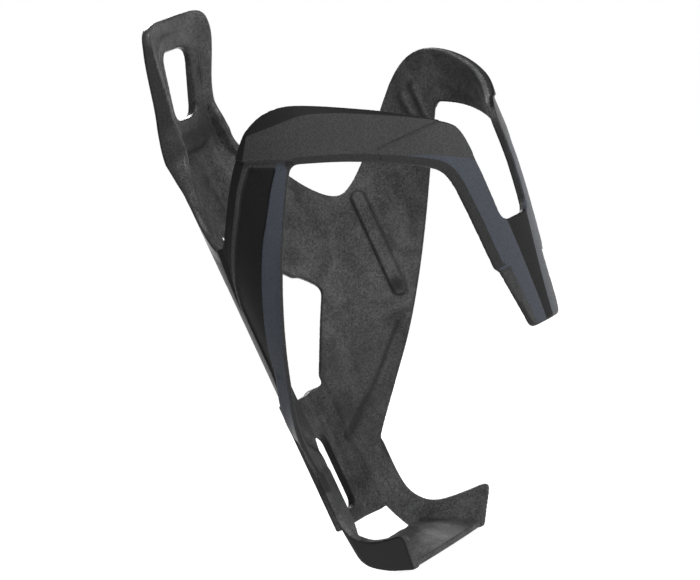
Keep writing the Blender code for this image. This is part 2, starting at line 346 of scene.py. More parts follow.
class Maps:
    """The shell's flat maps over unrolled arc length and height."""

    def __init__(self):
        arcs = np.arange(0.0, pi * INNER + MAP_STEP, MAP_STEP)
        heights = np.arange(MAP_BOTTOM, MAP_TOP, MAP_STEP)
        x, y = np.meshgrid(arcs, heights, indexing="ij")
        angle = np.degrees(x / INNER)
        outline = loop_distance(x, y, rounded_outline(HOOP))
        window = loop_distance(x, y, rounded_outline(WINDOW))
        hole = loop_distance(x, y, rounded_outline(TAB_HOLE))
        self.window = np.maximum(-window, -hole)
        self.outline = np.maximum(outline, self.window)
        self.inner = inner_relief(x, y, angle, self.outline)
        self.outer = outer_relief(x, y, angle, self.outline)
        self.slate = slate_distance(x, y, angle)
        self.panel = panel_distance(x, y)
        tongue = (np.interp(y, CENTRE_HEIGHTS, CENTRE_ANGLES) - angle) * PER_DEGREE
        self.bevel = np.where(y < TONGUE_TOP, tongue, bevel_depth(x, y, angle))
        self.skirt = np.where(y < SKIRT_LOWEST, NOWHERE, skirt_depth(x, y, self.outline))
        # painted shade on the bottle-side face: by the rib, ridges and crease, under the tab and low
        # down
        self.painted_shade = painted_shade_map(x, y)

    def read(self, field, arc, height):
        """Bilinear look-up of a map."""
        u = np.clip(arc / MAP_STEP, 0, field.shape[0] - 1.001)
        v = np.clip((height - MAP_BOTTOM) / MAP_STEP, 0, field.shape[1] - 1.001)
        i, j = u.astype(int), v.astype(int)
        s, t = u - i, v - j
        low = field[i, j] * (1 - s) + field[i + 1, j] * s
        high = field[i, j + 1] * (1 - s) + field[i + 1, j + 1] * s
        return low * (1 - t) + high * t


# --- relief of the shell ---


def inner_relief(x, y, angle, outline):
    """Radius of the bottle-side face: rims, the wing's rib and ridges, and the foot's crease."""
    radius = np.full(x.shape, INNER)
    depth = np.interp(y, RIM_HEIGHTS, RIM_DEPTHS)
    at_edge = smooth_step(outline, *RIM_FLANK) * smooth_step(angle, *SPINE_START)
    radius -= depth * at_edge * (x < radians(RIM_END) * INNER)
    rib = np.abs(line_distance(x, y, RIB))
    radius -= RIB_HEIGHT * (1 - smooth_step(rib, *RIB_FLANK))
    for ridge in RIDGES:
        radius -= RIDGE_HEIGHT * np.exp(-((line_distance(x, y, ridge) / RIDGE_WIDTH) ** 2))
    front_hollow = 0.7 * (1 - smooth_step(angle, 11, 21))
    return radius + front_hollow + crease_relief(x, y, angle)


def shade_band(distance, strength, width, power=2):
    """A soft band of painted shade, of some half width, round a line or a point."""
    return strength * np.exp(-(np.abs(distance / width) ** power))


def painted_shade_map(x, y):
    """How much painted shade darkens the bottle-side face: by the rib, ridges and crease, under the tab
    and low down.
    """
    rib = np.abs(line_distance(x, y, RIB))
    rib_end = np.hypot(x - radians(122.4) * INNER, y - 65.5)
    under_tab = smooth_step(x, radians(158) * INNER, radians(170) * INNER)
    beside_slot = smooth_step(x, 78, 84) * smooth_step(y, 20, 28) * (1 - smooth_step(y, 46, 68))
    fold = np.hypot(x - radians(168) * INNER, y - 41)
    crease = line_distance(x, y, CREASE)
    crease_width = np.interp(y, [33, 44, 57], [2.2, 1.0, 0.7])
    shades = [
        shade_band(rib - 1.9, 0.8, 0.45),
        shade_band(rib_end, 1.0, 2.2, power=4),
        *(shade_band(line_distance(x, y, ridge) - 1.4, 0.7, 0.9) for ridge in RIDGES),
        shade_band(y - 121.5, 0.7, 4.0) * under_tab,
        shade_band(fold, 0.55, 6.5),
        0.42 * beside_slot,
        shade_band(crease, 0.95, crease_width) * (y < 57) * (y > 32.5),
    ]
    return np.maximum.reduce(shades)


def crease_relief(x, y, angle):
    """The valley where the wing folds into the foot, sunk through both faces."""
    crease = line_distance(x, y, CREASE)
    fade = smooth_step(angle, 122, 136)
    valley = CREASE_DEPTH * np.exp(-np.abs(crease / CREASE_WIDTH) ** 1.5)
    step_below = 0.5 * smooth_step(-crease, 0.0, 6.0) * (y < 60)
    return fade * (valley + step_below)


def outer_relief(x, y, angle, outline):
    """Radius of the outer face: bevels, facets and the wing's sunken panel."""
    thick = smooth_step(line_distance(x, y, LEDGE), -0.2, 0.2) * (angle < 100)
    radius = INNER + WALL + (FRONT_WALL - WALL) * thick
    tab = 0.9 * smooth_step(y, 118, 128) * (angle > 140)
    root = np.interp(y, ROOT_HEIGHTS, ROOT_THICKNESS) * smooth_step(angle, 150, 156)
    radius += tab + root
    bevel = np.maximum(bevel_depth(x, y, angle), 0.0)
    band_bevel, wing_bevel = 0.5 * bevel, np.minimum(0.28 * bevel, 0.9)
    radius -= np.where(thick > 0.5, band_bevel, wing_bevel)
    facet = -line_distance(x, y, FACET_LINE)
    facet = np.where((angle > WING_FRONT) & (y < 106), np.maximum(facet, 0.0), 0.0)
    radius -= np.where(thick > 0.5, 0.0, np.minimum(0.12 * facet, 0.5))
    radius -= PANEL_DEPTH * (1 - smooth_step(panel_distance(x, y), -0.35, 0.05))
    radius -= 0.55 * np.maximum(skirt_depth(x, y, outline) * thick, 0.0)
    beside_centre = angle - np.interp(y, CENTRE_HEIGHTS, CENTRE_ANGLES)
    leg_facet = 0.045 * np.clip(beside_centre, 0, 14) * (y < 99)
    tongue_step = 0.5 * smooth_step(angle, 12.6, 13.4) * (y < 59.4)
    radius -= (leg_facet + tongue_step) * (angle < FRONT_END)
    return np.maximum(radius, INNER + THINNEST) + crease_relief(x, y, angle)


def bevel_depth(x, y, angle):
    """How far a flat point lies beyond the line where the wing's and band's top bevel starts."""
    end = (BEVEL_LINE[0][0] - 0.35 * (y - BEVEL_LOWEST) - angle) * PER_DEGREE
    return np.minimum(np.minimum(-line_distance(x, y, BEVEL_LINE), end), y - BEVEL_LOWEST)


def skirt_depth(x, y, outline):
    """How far a flat point lies inside the bevel along the band's and legs' lower edge."""
    lower = -line_distance(x, y, SKIRT_LINE)
    past_band = x >= radians(SKIRT_LINE[-1][0]) * INNER
    return np.where(past_band, NOWHERE, np.minimum(outline + SKIRT_WIDTH, lower))


def panel_distance(x, y):
    """Distance to the sunken panel's outline, negative inside it."""
    loop = rounded_outline([(a, h, 0.8) for a, h in PANEL])
    return loop_distance(x, y, loop)


def slate_distance(x, y, angle):
    """How far inside the slate facets a flat point lies, negative outside them."""
    facet = -line_distance(x, y, FACET_LINE)
    within_wing = np.minimum((angle - WING_FRONT) * PER_DEGREE, np.minimum(105.6 - y, y - 45.0))
    wing = np.minimum(facet, within_wing)
    below_top = line_distance(x, y, SLATE_TOP)
    beside_centre = (angle - np.interp(y, CENTRE_HEIGHTS, CENTRE_ANGLES)) * PER_DEGREE
    leg = np.minimum(np.minimum(below_top, beside_centre), (47 - angle) * PER_DEGREE)
    within_tongue = (np.interp(y, [44, 60], [8.8, 13.0]) - angle) * PER_DEGREE
    tip = np.maximum(y - 59.3, within_tongue)
    return np.maximum(wing, np.minimum(leg, tip))


# --- the moulding as a distance field ---


def shell_travel(angle, z):
    """Radial travel of the sprung front, and travel along +Y of the spine's top."""
    share = np.maximum(0.0, np.cos(np.radians(angle)))
    radial = share * np.interp(z, FRONT_HEIGHTS, FRONT_TRAVEL)
    step = BACK_SETBACK * smooth_step(z, SETBACK_START, LEAN_START)
    above = z - LEAN_START
    lean = TAB_LEAN * 0.5 * (above + np.hypot(above, LEAN_BLEND))
    return radial, (step - lean) * smooth_step(angle, *LEAN_ANGLES)


def rounded_both(a, b, radius):
    """The overlap of two regions, with the edge between them rounded."""
    a = a + radius
    b = b + radius
    outside = np.hypot(np.maximum(a, 0.0), np.maximum(b, 0.0))
    return outside + np.minimum(np.maximum(a, b), 0.0) - radius


def cheek_field(x, y, z, loop):
    """The side of the foot: a flat panel that runs out of the round shell."""
    out = ACROSS[0] * x + ACROSS[1] * y
    along = -ACROSS[1] * x + ACROSS[0] * y
    slope = CHEEK_NORMAL[0] * ACROSS[0] + CHEEK_NORMAL[1] * ACROSS[1]
    run = CHEEK_NORMAL[1] * ACROSS[0] - CHEEK_NORMAL[0] * ACROSS[1]
    panel = (CHEEK_OFFSET - run * along - CHEEK_NORMAL[2] * z) / slope
    shell = np.sqrt(np.maximum(INNER**2 - along**2, 1.0))
    face = smooth_min(panel, shell, 2.0)
    depth = (out - face) * 0.89  # measured square to the panel
    edge = loop_distance(along, z, loop)
    return rounded_both(edge, np.abs(depth - CHEEK_WALL / 2) - CHEEK_WALL / 2, EDGE_RADIUS)


def rail_field(x, y, z):
    """The two blocks behind the shell that lie on the bicycle's frame."""
    is_lower = z < WINDOW_MIDDLE
    half = np.where(is_lower, LOWER_HALF_WIDTH, UPPER_HALF_WIDTH)
    flare = 1.6 * (1 - smooth_step(z, 16, 21)) * (1 - smooth_step(y, 38.5, 40))
    splay = np.where(is_lower, LOWER_SPLAY, UPPER_SPLAY)
    width = np.abs(x) - (half + flare) - (RAIL_BACK - y) * splay
    depth = np.maximum(y - RAIL_BACK, RAIL_FRONT - y)
    top = np.where(is_lower, LOWER_TOP, RAIL_TOP - 1.0)
    height = np.maximum(RAIL_BOTTOM - z, z - top)
    return rounded_both(rounded_both(width, depth, 0.6), height, 0.5)


def channel_field(x, y, z):
    """The trough that takes the bolts' heads, open towards the bottle."""
    sideways, back = CHANNEL_SLANT
    slanted = (np.abs(x) - CHANNEL_HALF_WIDTH) * sideways + (y - CHANNEL_FLOOR_Y) * back
    depth = np.maximum(y - CHANNEL_FLOOR_Y, SLOT_REACH - y)
    upper_end = (z - RAIL_TOP + 2.5) * 0.8 + (y - CHANNEL_FLOOR_Y) * 0.6
    height = np.maximum(RAIL_BOTTOM - 3 - z, upper_end)
    return smooth_max(smooth_max(slanted, depth, CHANNEL_BLEND), height, CHANNEL_BLEND)


def slot_field(x, z, middle, length, width):
    """An upright slot with round ends."""
    straight = (length - width) / 2
    beyond = np.maximum(np.abs(z - middle) - straight, 0.0)
    return np.hypot(x, beyond) - width / 2


class Cage:
    """The distance field of the whole moulding, in millimetres about the bottle."""

    def __init__(self):
        self.maps = Maps()
        flat = [(Vector((p[0] / INNER * 180 / pi, p[1])), p[2]) for p in CHEEK]
        self.cheek_loop = rounded_outline([(p.x, p.y, reach) for p, reach in flat])

    def unrolled(self, x, y, z):
        """Arc length, radius and angle of points, with the shell's travel taken out."""
        x = np.abs(x)
        angle = np.degrees(np.arctan2(x, -y))
        radial, back = shell_travel(angle, z)
        y = y - back
        angle = np.degrees(np.arctan2(x, -y))
        return np.radians(angle) * INNER, np.hypot(x, y) - radial, angle

    def field(self, x, y, z):
        """Distance to the moulding's surface, negative inside the material."""
        arc, radius, angle = self.unrolled(x, y, z)
        maps = self.maps
        edge = maps.read(maps.outline, arc, z)
        inner = maps.read(maps.inner, arc, z)
        outer = maps.read(maps.outer, arc, z)
        thickness = np.maximum(inner - radius, radius - outer)
        near_spine = smooth_step(z, 76, 92) * smooth_step(angle, 146, 154)
        shell = rounded_both(edge, thickness, EDGE_RADIUS + EDGE_RADIUS * near_spine)
        body = smooth_min(shell, rail_field(x, y, z), 1.2)
        low = z < CHEEK_FADE[1]
        if np.any(low):
            cheek = np.full(x.shape, FAR)
            cheek[low] = cheek_field(np.abs(x[low]), y[low], z[low], self.cheek_loop)
            cheek += 6.0 * smooth_step(z, *CHEEK_FADE)
            body = smooth_min(body, cheek, 0.6)
        body = smooth_max(body, -channel_field(x, y, z), 0.8)
        lower_slot, upper_slot = [slot_field(x, z, *slot) for slot in BOLT_SLOTS]
        slots = np.where(y > SLOT_REACH, np.minimum(lower_slot, upper_slot), FAR)
        body = smooth_max(body, -slots, 0.5)
        window = np.where(y > BACK_HALF, maps.read(maps.window, arc, z), -FAR)
        return smooth_max(body, window, 0.7)


# --- from field to mesh ---


def sample_field(cage):
    """The field on a regular grid, one level at a time."""
    counts = [int(np.ceil((b - a) / PITCH)) + 1 for a, b in zip(GRID_LOW, GRID_HIGH)]
    xs, ys, zs = [a + PITCH * np.arange(n) for a, n in zip(GRID_LOW, counts)]
    x, y = np.meshgrid(xs, ys, indexing="ij")
    levels = [cage.field(x.ravel(), y.ravel(), np.full(x.size, z)).reshape(x.shape) for z in zs]
    return np.stack(levels, axis=2).astype(np.float32)


def surface_net(values):
    """Vertices and quads of the surface where a sampled field changes sign."""
    inside = values < 0
    cells = tuple(n - 1 for n in values.shape)
    corners = [(i, j, k) for i in (0, 1) for j in (0, 1) for k in (0, 1)]

    def corner(array, offset):
        i, j, k = offset
        return array[i : i + cells[0], j : j + cells[1], k : k + cells[2]]

    filled = sum(corner(inside, c).astype(np.uint8) for c in corners)
    active = np.argwhere((filled > 0) & (filled < 8))
    number = np.full(cells, -1, np.int32)
    number[tuple(active.T)] = np.arange(len(active))
    total = np.zeros((len(active), 3))
    crossings = np.zeros(len(active))
    for a in corners:
        for axis in range(3):
            if a[axis]:
                continue
            b = tuple(1 if n == axis else a[n] for n in range(3))
            va = values[tuple((active + a).T)]
            vb = values[tuple((active + b).T)]
            cut = (va < 0) != (vb < 0)
            t = np.where(cut, va / np.where(cut, va - vb, 1.0), 0.0)
            place = np.array(a, float)[None, :] + np.eye(3)[axis][None, :] * t[:, None]
            total += np.where(cut[:, None], place, 0.0)
            crossings += cut
    points = (active + total / crossings[:, None]) * PITCH + np.array(GRID_LOW)
    quads = []
    for axis in range(3):
        u, v = (axis + 1) % 3, (axis + 2) % 3
        start = [slice(1, n - 1) for n in values.shape]
        start[axis] = slice(0, values.shape[axis] - 1)
        end = list(start)
        end[axis] = slice(1, values.shape[axis])
        first, second = inside[tuple(start)], inside[tuple(end)]
        for sign, mask in ((1, first & ~second), (-1, ~first & second)):
            base = np.argwhere(mask)
            base[:, u] += 1
            base[:, v] += 1
            ring = []
            for du, dv in ((0, 0), (-1, 0), (-1, -1), (0, -1)):
                cell = base.copy()
                cell[:, u] += du
                cell[:, v] += dv
                ring.append(number[tuple(cell.T)])
            quads.append(np.stack(ring if sign < 0 else ring[::-1], axis=1)[:, ::-1])
    return points, np.concatenate(quads)


def gradient(cage, points):
    """The direction in which the field grows, and how steeply."""
    step = 0.02
    slopes = []
    for axis in range(3):
        shift = np.zeros(3)
        shift[axis] = step
        ahead = cage.field(*(points + shift).T)
        behind = cage.field(*(points - shift).T)
        slopes.append((ahead - behind) / (2 * step))
    return np.stack(slopes, axis=1)


def settle(cage, points):
    """Move mesh points onto the field's surface, in three short steps."""
    for _ in range(3):
        value = cage.field(*points.T)
        slope = gradient(cage, points)
        size = np.maximum((slope**2).sum(1), 0.25)
        points = points - np.clip(value / size, -0.3, 0.3)[:, None] * slope
    return points


# --- the seams between the pieces ---

# Where the drawing's zero lies in the frame: the rail's back is the frame's Y = 0.
rail_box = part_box("lower_mount")
DRAWING_ZERO = Vector((0.0, rail_box[1][1] - RAIL_BACK * MM, rail_box[0][2] - RAIL_BOTTOM * MM))


def shell_point(angle, height):
    """The place of an outline's point on the shell's inner face, on the left side."""
    turn = radians(angle)
    return Vector((-sin(turn) * INNER, -cos(turn) * INNER, height))


def seam_plane(start, end, keep_back):
    """A plane across the shell through two (angle, height) points, as (point, outward)."""
    a, b = shell_point(*start), shell_point(*end)
    middle = (a + b) / 2
    across = (b - a).cross(Vector((middle.x, middle.y, 0.0))).normalized()
    if (across.y > 0) == keep_back:
        across = -across
    return middle, across


def level(height, keep_above):
    """A flat plane at a height, as (point, outward)."""
    return Vector((0, 0, height)), Vector((0, 0, -1 if keep_above else 1))


def beside(x, keep_left):
    """An upright plane that faces sideways."""
    return Vector((x, 0, 0)), Vector((1 if keep_left else -1, 0, 0))


def behind(y):
    """An upright plane that keeps what lies behind it."""
    return Vector((0, y, 0)), Vector((0, -1, 0))


def in_front(y):
    """An upright plane that keeps what lies in front of it."""
    return Vector((0, y, 0)), Vector((0, 1, 0))


# Ends of the slanting seams as (angle, height), and the places of the straight ones.
NOTCH = (130, 92.0)
WINDOW_FRONT = (150.5, 72)
BAND_BACK = (79, 118)
BAND_BACK_LOW = (74, 103)
BAND_FRONT = (5, 97)
BAND_FRONT_LOW = (27, 86)
RAIL_SEAM = 8.15
TAB_SEAM = 120.15
LEG_FOOT = 73.0
WING_FOOT = 49.0
STAY_FOOT = 27.3
FRONT_PARTS_Y = -20.0
FOOT_PARTS_Y = 0.0
MOUNTS_Y = 20.0
TAB_Y = 15.0
SIDE_SEAMS = {
    "shoulder": [
        seam_plane(NOTCH, WINDOW_FRONT, True),
        beside(-RAIL_SEAM, True),
        level(TAB_SEAM, False),
        level(WING_FOOT, True),
    ],
    "wing": [
        seam_plane(NOTCH, WINDOW_FRONT, False),
        seam_plane(BAND_BACK, BAND_BACK_LOW, True),
        beside(-RAIL_SEAM, True),
        level(WING_FOOT, True),
        behind(FRONT_PARTS_Y),
    ],
    "stay": [
        level(WING_FOOT, False),
        level(STAY_FOOT, True),
        beside(-RAIL_SEAM, True),
        behind(FOOT_PARTS_Y),
    ],
    "band": [
        seam_plane(BAND_BACK, BAND_BACK_LOW, False),
        seam_plane(BAND_FRONT, BAND_FRONT_LOW, True),
        beside(0.0, True),
        level(LEG_FOOT, True),
    ],
    "leg": [
        seam_plane(BAND_FRONT, BAND_FRONT_LOW, False),
        level(LEG_FOOT, True),
        beside(0.0, True),
        in_front(FRONT_PARTS_Y),
    ],
    "foot_wall": [level(STAY_FOOT, False), beside(-RAIL_SEAM, True), behind(FOOT_PARTS_Y)],
}


def mirrored(plane):
    """The same plane on the object's other side."""
    point, outward = plane
    return Vector((-point.x, point.y, point.z)), Vector((-outward.x, outward.y, outward.z))


def all_seams():
    """The planes that bound each CAD node's share of the moulding."""
    beside_rail = [beside(RAIL_SEAM, True), beside(-RAIL_SEAM, False), behind(MOUNTS_Y)]
    seams = {
        "lower_mount": [*beside_rail, level(WINDOW_MIDDLE, False)],
        "upper_mount": [*beside_rail, level(WINDOW_MIDDLE, True), level(TAB_SEAM, False)],
        "top_tab": [level(TAB_SEAM, True), behind(TAB_Y)],
        "front_tongue": [level(LEG_FOOT, False), in_front(FRONT_PARTS_Y)],
    }
    for name, planes in SIDE_SEAMS.items():
        seams["left_" + name] = planes
        seams["right_" + name] = [mirrored(plane) for plane in planes]
    return seams


SNAP = 0.01  # vertices nearer than this to a seam count as on it


def cut_piece(name, points, quads, planes):
    """The part of the moulding inside some planes, closed where they cut it."""
    keep = np.ones(len(quads), bool)
    for point, outward in planes:
        depth = (points - np.array(point)) @ np.array(outward)
        keep &= (depth[quads] < 0).any(axis=1)
    used, renumbered = np.unique(quads[keep], return_inverse=True)
    mesh = bpy.data.meshes.new(name)
    mesh.from_pydata(points[used].tolist(), [], renumbered.reshape(-1, 4).tolist())
    work = bmesh.new()
    work.from_mesh(mesh)
    for point, outward in planes:
        geometry = work.verts[:] + work.edges[:] + work.faces[:]
        bmesh.ops.bisect_plane(
            work, geom=geometry, dist=SNAP, plane_co=point, plane_no=outward, clear_outer=True
        )
        rim = [e for e in work.edges if e.is_boundary]
        on_plane = [e for e in rim if all(abs((v.co - point).dot(outward)) < 2 * SNAP for v in e.verts)]
        filled = bmesh.ops.holes_fill(work, edges=on_plane, sides=0)
        bmesh.ops.triangulate(work, faces=filled["faces"])
    bmesh.ops.recalc_face_normals(work, faces=work.faces[:])
    work.to_mesh(mesh)
    work.free()
    return mesh


def face_normals(mesh):
    """The normals of a mesh's faces, one per row."""
    values = np.zeros(len(mesh.polygons) * 3)
    mesh.polygons.foreach_get("normal", values)
    return values.reshape(-1, 3)


def shade_from_field(cage, mesh):
    """Give the mesh the field's own normals, and flat ones on the cut faces."""
    places = np.zeros(len(mesh.vertices) * 3)
    mesh.vertices.foreach_get("co", places)
    places = places.reshape(-1, 3)
    slope = gradient(cage, places)
    slope /= np.maximum(np.linalg.norm(slope, axis=1), 1e-9)[:, None]
    corner_vertex = np.zeros(len(mesh.loops), int)
    mesh.loops.foreach_get("vertex_index", corner_vertex)
    counts = np.zeros(len(mesh.polygons), int)
    mesh.polygons.foreach_get("loop_total", counts)
    flat = np.repeat(face_normals(mesh), counts, axis=0)
    smooth = slope[corner_vertex]
    agree = (flat * smooth).sum(axis=1) > 0.55  # false on the cut faces
    normals = np.where(agree[:, None], smooth, flat)
    mesh.shade_smooth()
    mesh.normals_split_custom_set(normals.tolist())


def write_masks(cage, mesh):
    """Store on each vertex which face it lies on and how deep inside each colour's area."""
    places = np.zeros(len(mesh.vertices) * 3)
    mesh.vertices.foreach_get("co", places)
    x, y, z = places.reshape(-1, 3).T
    arc, radius, _ = cage.unrolled(x, y, z)
    maps = cage.maps
    inner, outer = maps.read(maps.inner, arc, z), maps.read(maps.outer, arc, z)
    through = (radius - inner) / np.maximum(outer - inner, 0.5)
    at_foot = (z <= FOOT_TOP) & (y >= FOOT_PARTS_Y)
    on_mount = (np.abs(x) <= 9) & (y >= BACK_HALF)
    on_shell = ~at_foot & ~on_mount
    facing = gradient(cage, np.stack([x, y, z], axis=1))
    outward = (facing[:, 0] * x + facing[:, 1] * y) / np.hypot(x, y)
    edge = maps.read(maps.outline, arc, z)
    rise = maps.read(maps.outline, arc, z + 0.3) - maps.read(maps.outline, arc, z - 0.3)
    on_outside = through > 0.5
    around_spine = (y > BACK_HALF) * (z > 74) * (z < 152)
    bevel = np.where(on_outside, maps.read(maps.bevel, arc, z), NOWHERE)
    # the lower slot's walls, which get painted shade
    in_slot = (np.abs(x) < 3.6) & (y > CHANNEL_FLOOR_Y - 0.4) & (np.abs(facing[:, 1]) < 0.6)
    painted_shade = maps.read(maps.painted_shade, arc, z) * ~on_outside
    masks = {
        "outer": np.where(on_shell, smooth_step(through, 0.45, 0.7), smooth_step(outward, 0.2, 0.5)),
        # painted shade on the shell's edges, left off the edges whose outline rises, that is the top
        # ones
        "rim": smooth_step(edge, -0.42, -0.2) * on_shell * (1 - smooth_step(rise, 0.0, 0.25)),
        "polished": smooth_step(edge, -4.0, -3.0) * around_spine,
        # painted shade on the lower bevel of the band and legs
        "skirt": np.where(through > 0.3, maps.read(maps.skirt, arc, z), NOWHERE),
        # painted shade on the bottle-side face and on the lower slot's walls
        "painted_shade": np.maximum(painted_shade, 0.8 * in_slot),
        "slate": np.where(on_shell & on_outside, maps.read(maps.slate, arc, z), NOWHERE),
        "panel": np.where(on_outside, -maps.read(maps.panel, arc, z), NOWHERE),
        # painted shade: the top bevel, and at the foot its outward faces
        "bevel": np.where(at_foot, outward - 0.45, bevel),
    }
    for name, values in masks.items():
        layer = mesh.attributes.new(name, "FLOAT", "POINT")
        layer.data.foreach_set("value", np.clip(values, NOWHERE, DEEPEST).astype(np.float32))


def place(name, mesh, material):
    """Make a frame object of a mesh drawn in millimetres about the bottle."""
    mesh.transform(Matrix.Translation(DRAWING_ZERO) @ Matrix.Scale(MM, 4))
    mesh.materials.append(material)
    item = bpy.data.objects.new(name, mesh)
    bpy.context.scene.collection.objects.link(item)
    return item


# --- material ---


class Nodes:
    """Short calls for building a material's node tree."""

    def __init__(self, name):
        self.material = bpy.data.materials.new(name)
        self.material.use_nodes = True
        self.tree = self.material.node_tree
        self.shader = self.tree.nodes["Principled BSDF"]
        self.shader.inputs["Specular IOR Level"].default_value = 0.2
        coordinates = self.tree.nodes.new("ShaderNodeTexCoord")
        self.place = coordinates.outputs["Object"]

    def node(self, kind, inputs=None, **settings):
        node = self.tree.nodes.new(kind)
        for key, value in settings.items():
            setattr(node, key, value)
        for key, value in (inputs or {}).items():
            if isinstance(value, bpy.types.NodeSocket):
                self.tree.links.new(value, node.inputs[key])
            else:
                node.inputs[key].default_value = value
        return node

    def noise(self, size, detail=4.0, roughness=0.55, distortion=0.0):
        """A noise whose features are about size millimetres across."""
        inputs = {"Vector": self.place, "Scale": 1.0 / (size * MM), "Detail": detail}
        inputs.update({"Roughness": roughness, "Distortion": distortion})
        return self.node("ShaderNodeTexNoise", inputs).outputs["Fac"]

    def ramp(self, value, low, high, start, end):
        inputs = {"Value": value, "From Min": low, "From Max": high, "To Min": start, "To Max": end}
        return self.node("ShaderNodeMapRange", inputs).outputs["Result"]

    def maths(self, operation, a, b):
        return self.node("ShaderNodeMath", {0: a, 1: b}, operation=operation).outputs[0]

    def mix(self, factor, a, b):
        node = self.node("ShaderNodeMix", data_type="RGBA")
        for socket, value in ((0, factor), (6, a), (7, b)):
            if isinstance(value, bpy.types.NodeSocket):
                self.tree.links.new(value, node.inputs[socket])
            else:
                node.inputs[socket].default_value = value
        return node.outputs[2]

    def blend(self, factor, a, b):
        node = self.node("ShaderNodeMix", {0: factor, 2: a, 3: b}, data_type="FLOAT")
        return node.outputs[0]

    def attribute(self, name):
        return self.node("ShaderNodeAttribute", attribute_name=name).outputs["Fac"]

    def inside(self, name, blur):
        """1 inside the area whose depth in millimetres is stored under name."""
        return self.ramp(self.attribute(name), -blur, blur, 0.0, 1.0)

    def link(self, value, socket):
        self.tree.links.new(value, self.shader.inputs[socket])

    def bump(self, height, distance, strength=1.0):
        inputs = {"Height": height, "Distance": distance * MM, "Strength": strength}
        return self.node("ShaderNodeBump", inputs).outputs["Normal"]


def grey(value, tint=0.0):
    """A grey with a little more blue in it by the share tint."""
    return (value, value, value * (1 + tint), 1.0)


def moulded_carbon():
    """Mottled carbon inside, satin black outside, slate facets, a matt sunken panel, and painted shade
    on the bevels, edges and bottle-side creases.
    """
    n = Nodes("moulded_carbon")
    cloud = n.noise(9.0, detail=6.0, roughness=0.6, distortion=0.8)
    fibre = n.noise(1.2, detail=5.0, roughness=0.7, distortion=2.2)
    grain = n.noise(0.45, detail=2.0, roughness=0.6)
    clouds = n.ramp(cloud, 0.32, 0.68, 0.66, 1.4)
    strands = n.ramp(fibre, 0.3, 0.7, 0.5, 1.55)
    speckle = n.ramp(grain, 0.3, 0.7, 0.7, 1.3)
    tone = n.maths("MULTIPLY", n.maths("MULTIPLY", clouds, strands), speckle)
    inside = n.mix(n.ramp(tone, 0.3, 1.9, 0.0, 1.0), grey(0.007, 0.02), grey(0.076, 0.02))
    skin = n.maths("MULTIPLY", n.ramp(grain, 0.3, 0.7, 0.82, 1.18), n.ramp(fibre, 0.3, 0.7, 0.9, 1.1))
    shade = n.ramp(skin, 0.7, 1.3, 0.0, 1.0)
    outside = n.mix(shade, grey(0.013), grey(0.042, 0.03))
    facets = n.mix(shade, (0.022, 0.0255, 0.033, 1), (0.041, 0.0465, 0.060, 1))
    # the top bevel painted near black, painted shade in place of the dark it reflects; the foot's
    # outward faces get it too
    bevel = n.mix(shade, grey(0.002), grey(0.007))
    panel = n.mix(shade, grey(0.002), grey(0.006))
    # painted shade for the lower bevel and for the edges other than the top ones
    painted_edge_shade = n.mix(shade, grey(0.006), grey(0.022))
    colour = n.mix(n.attribute("outer"), inside, outside)
    # painted shade on the top bevel and on the foot's outward faces
    colour = n.mix(n.inside("bevel", 0.15), colour, bevel)
    colour = n.mix(n.inside("slate", 0.12), colour, facets)
    colour = n.mix(n.inside("panel", 0.12), colour, panel)
    # the lower bevel and the edges get painted shade
    colour = n.mix(n.inside("skirt", 0.1), colour, painted_edge_shade)
    colour = n.mix(n.attribute("rim"), colour, painted_edge_shade)
    # painted shade: the bottle-side face and the slot walls darkened towards near black
    colour = n.mix(n.maths("MULTIPLY", n.attribute("painted_shade"), 0.95), colour, grey(0.008))
    n.link(colour, "Base Color")
    rough_in = n.ramp(tone, 0.5, 1.6, 0.62, 0.45)
    rough_out = n.ramp(skin, 0.8, 1.2, 0.48, 0.36)
    rough = n.blend(n.attribute("outer"), rough_in, rough_out)
    rough = n.blend(n.inside("panel", 0.12), rough, 0.55)
    rough = n.blend(n.inside("bevel", 0.15), rough, 0.7)
    rough = n.blend(n.attribute("polished"), rough, 0.24)
    n.link(rough, "Roughness")
    relief = n.blend(n.attribute("outer"), n.maths("ADD", strands, speckle), speckle)
    n.link(n.bump(relief, 0.04, 0.7), "Normal")
    return n.material


# --- pieces ---


def foot_floor_mesh():
    """The rippled ramp between the cheeks."""
    mesh = bpy.data.meshes.new("foot_floor_ramp")
    work = bmesh.new()
    across, along = 60, 36
    rows = []
    for j in range(along + 1):
        t = j / along
        y = RAMP_BACK_Y - RAMP_RUN * t
        half = RAMP_HALF_WIDTH + RAMP_SPREAD * t
        z = RAMP_TOP - RAMP_DROP * t + RAMP_BOW * t * (1 - t)
        row = []
        for i in range(across + 1):
            u = 2 * i / across - 1
            x = u * half
            front = RAMP_BOW * (1 - u * u) * t
            ripple = RIPPLE * sin(0.9 * x + 2.2 * t) * sin(5.5 * t + 0.13 * x)
            row.append(work.verts.new((x, y - front, z + ripple * (1 - t * t))))
        rows.append(row)
    for low, high in zip(rows, rows[1:]):
        for i in range(across):
            work.faces.new((low[i], low[i + 1], high[i + 1], high[i]))
    grown = bmesh.ops.extrude_face_region(work, geom=work.faces[:], use_keep_orig=True)
    lower = [item for item in grown["geom"] if isinstance(item, bmesh.types.BMVert)]
    bmesh.ops.translate(work, vec=(0, 0.3, -RAMP_THICKNESS), verts=lower)
    bmesh.ops.recalc_face_normals(work, faces=work.faces[:])
    work.to_mesh(mesh)
    work.free()
    mesh.shade_smooth()
    mesh.set_sharp_from_angle(angle=radians(50))
    for name in ("skirt", "slate", "panel", "bevel"):
        layer = mesh.attributes.new(name, "FLOAT", "POINT")
        layer.data.foreach_set("value", np.full(len(mesh.vertices), NOWHERE, np.float32))
    return mesh


